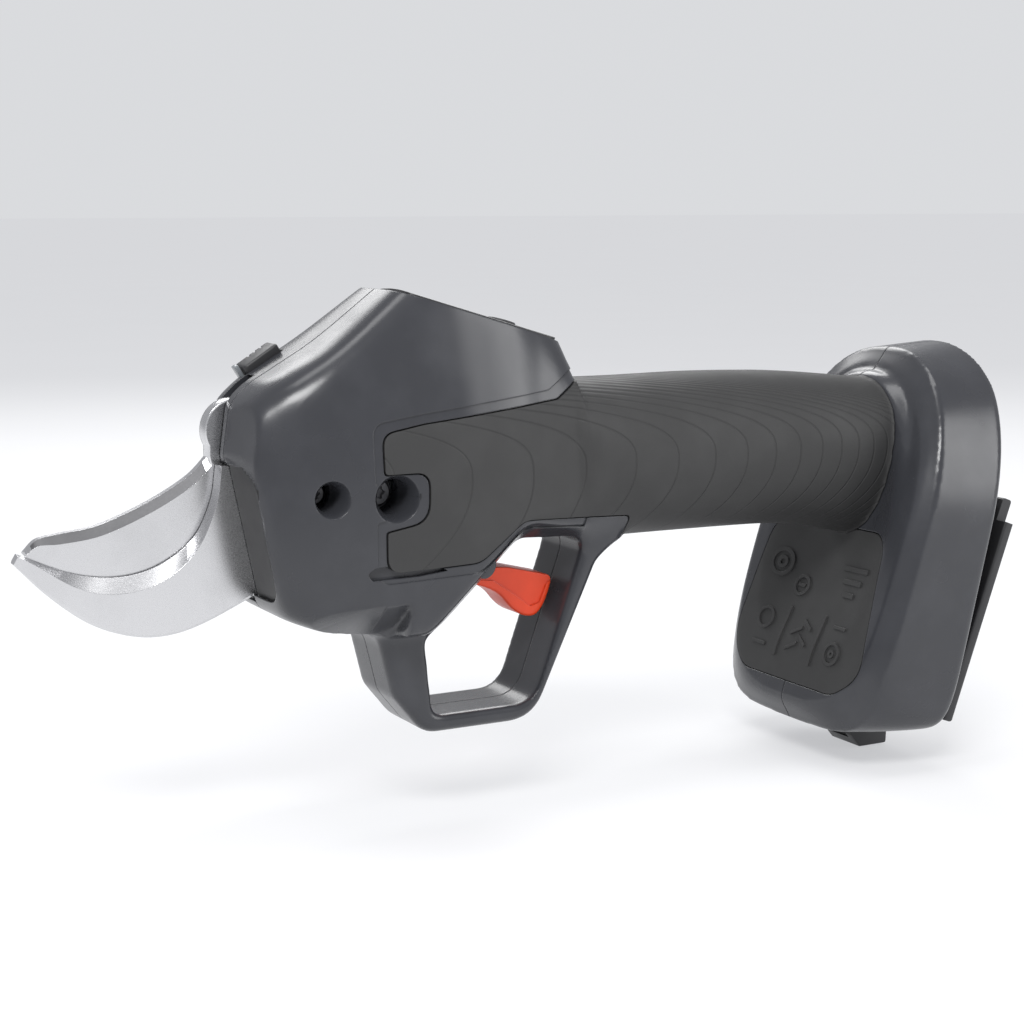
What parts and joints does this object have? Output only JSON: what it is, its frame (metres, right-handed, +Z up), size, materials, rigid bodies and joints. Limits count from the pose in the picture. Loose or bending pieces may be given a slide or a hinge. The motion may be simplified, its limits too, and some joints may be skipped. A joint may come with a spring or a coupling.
{
  "type": "battery electric pruner",
  "caption": "Hand-held battery pruner with a curved hook blade, a powered moving blade, an enclosed trigger loop, a soft-grip handle and a wide battery foot.",
  "frame": {"origin": "bottom centre of the bounding box of the whole tool", "axes": "+Z up with the tool held level; the blades point along -X, the battery foot is at +X, -Y is the side seen in the reference image (the left hand side for someone holding the handle and looking along -X, +Y being the other)"},
  "size_m": [0.2946, 0.0778, 0.1429],
  "materials": {
    "housing": "moulded, semi-gloss charcoal",
    "soft_grip": "matt overmould, fine contour grooves",
    "dark_plastic": "moulded, fine texture",
    "trigger_plastic": "moulded, satin orange",
    "blade_steel": "ground, satin",
    "steel": "turned",
    "gear_steel": "hardened, oiled",
    "black_screw": "black oxide",
    "cast_aluminium": "die cast",
    "magnet": "sintered, coated",
    "motor_steel": "phosphated",
    "copper": null,
    "contact_brass": "plated contact",
    "circuit": "solder-masked board",
    "lens": "clear",
    "black_plastic": "moulded",
    "red_wire": "insulated wire"
  },
  "bodies": {
    "housing": {"top_panel": "dark_plastic", "status_window": "lens", "work_light_housing": "dark_plastic", "work_light_lens": "lens", "left_shell": "housing", "right_shell": "housing", "left_grip": "soft_grip", "right_grip": "soft_grip", "foot_pad": "soft_grip", "hook_blade": "blade_steel", "pivot_bolt": "steel", "pivot_washer": "steel", "pivot_nut": "steel", "head_screw_front": "black_screw", "head_screw_rear": "black_screw", "shell_screw_1": "black_screw", "shell_screw_2": "black_screw", "shell_screw_3": "black_screw", "shell_screw_4": "black_screw", "output_bearing_front": "steel", "output_bearing_rear": "steel", "gear_housing": "cast_aluminium", "ring_gear": "gear_steel", "motor_front_cap": "cast_aluminium", "motor_bearing_front": "steel", "motor_can": "motor_steel", "stator_core": "motor_steel", "stator_winding_front": "copper", "stator_winding_rear": "copper", "motor_end_cap": "cast_aluminium", "motor_bearing_rear": "steel", "trigger_pin": "steel", "trigger_switch": "black_plastic", "trigger_spring": "steel", "control_board": "circuit", "capacitor": "black_plastic", "battery_lead_positive": "red_wire", "battery_lead_negative": "black_plastic", "battery_rail": "dark_plastic", "terminal_block": "black_plastic", "contact_blade_1": "contact_brass", "contact_blade_2": "contact_brass", "contact_blade_3": "contact_brass", "contact_blade_4": "contact_brass", "foot_stop": "dark_plastic"},
    "moving_blade": {"cutting_blade": "blade_steel", "bevel_sector": "gear_steel", "pivot_bush": "contact_brass", "hub_pin_1": "steel", "hub_pin_2": "steel"},
    "output_shaft": {"pinion_shaft": "gear_steel", "planet_carrier": "steel"},
    "planet_1": {"planet_gear_1": "gear_steel"},
    "planet_2": {"planet_gear_2": "gear_steel"},
    "planet_3": {"planet_gear_3": "gear_steel"},
    "rotor": {"rotor_shaft": "steel", "rotor_magnet": "magnet", "sun_gear": "steel"},
    "trigger": {"trigger": "trigger_plastic"},
    "power_button": {"power_button": "dark_plastic"}
  },
  "joints": [
    {"name": "blade_swing", "type": "hinge", "parent": "housing", "child": "moving_blade", "pos_m": [-0.08106, 0.006, 0.105], "axis": [0, 1, 0], "range_deg": [0, 45]},
    {"name": "output_spin", "type": "hinge", "parent": "housing", "child": "output_shaft", "pos_m": [-0.05117, 0, 0.10239], "axis": [-0.9962, 0, 0.0872], "range_deg": [0, 90]},
    {"name": "planet_spin_1", "type": "hinge", "parent": "output_shaft", "child": "planet_1", "pos_m": [-0.02924, 0, 0.09143], "axis": [0.9962, 0, -0.0872], "range_deg": [0, 270]},
    {"name": "planet_spin_2", "type": "hinge", "parent": "output_shaft", "child": "planet_2", "pos_m": [-0.02807, 0.00779, 0.10488], "axis": [0.9962, 0, -0.0872], "range_deg": [0, 270]},
    {"name": "planet_spin_3", "type": "hinge", "parent": "output_shaft", "child": "planet_3", "pos_m": [-0.02807, -0.00779, 0.10488], "axis": [0.9962, 0, -0.0872], "range_deg": [0, 270]},
    {"name": "rotor_spin", "type": "hinge", "parent": "housing", "child": "rotor", "pos_m": [0.01258, 0, 0.09681], "axis": [-0.9962, 0, 0.0872], "range_deg": [0, 360]},
    {"name": "trigger_pull", "type": "hinge", "parent": "housing", "child": "trigger", "pos_m": [-0.02956, 0, 0.0711], "axis": [0, -1, 0], "range_deg": [0, 10], "stiffness_Nm_per_rad": 0.6, "springref_deg": -20.05, "deforming": ["trigger_spring"]},
    {"name": "button_press", "type": "slide", "parent": "housing", "child": "power_button", "axis": [-0.2873, 0, -0.9578], "range_m": [0, 0.0008], "stiffness_N_per_m": 900, "springref_m": -0.0008}
  ],
  "couplings": [
    {"joint": "output_spin", "follows": "blade_swing", "ratio": 2},
    {"joint": "planet_spin_1", "follows": "blade_swing", "ratio": 6},
    {"joint": "planet_spin_2", "follows": "blade_swing", "ratio": 6},
    {"joint": "planet_spin_3", "follows": "blade_swing", "ratio": 6},
    {"joint": "rotor_spin", "follows": "blade_swing", "ratio": 8}
  ]
}
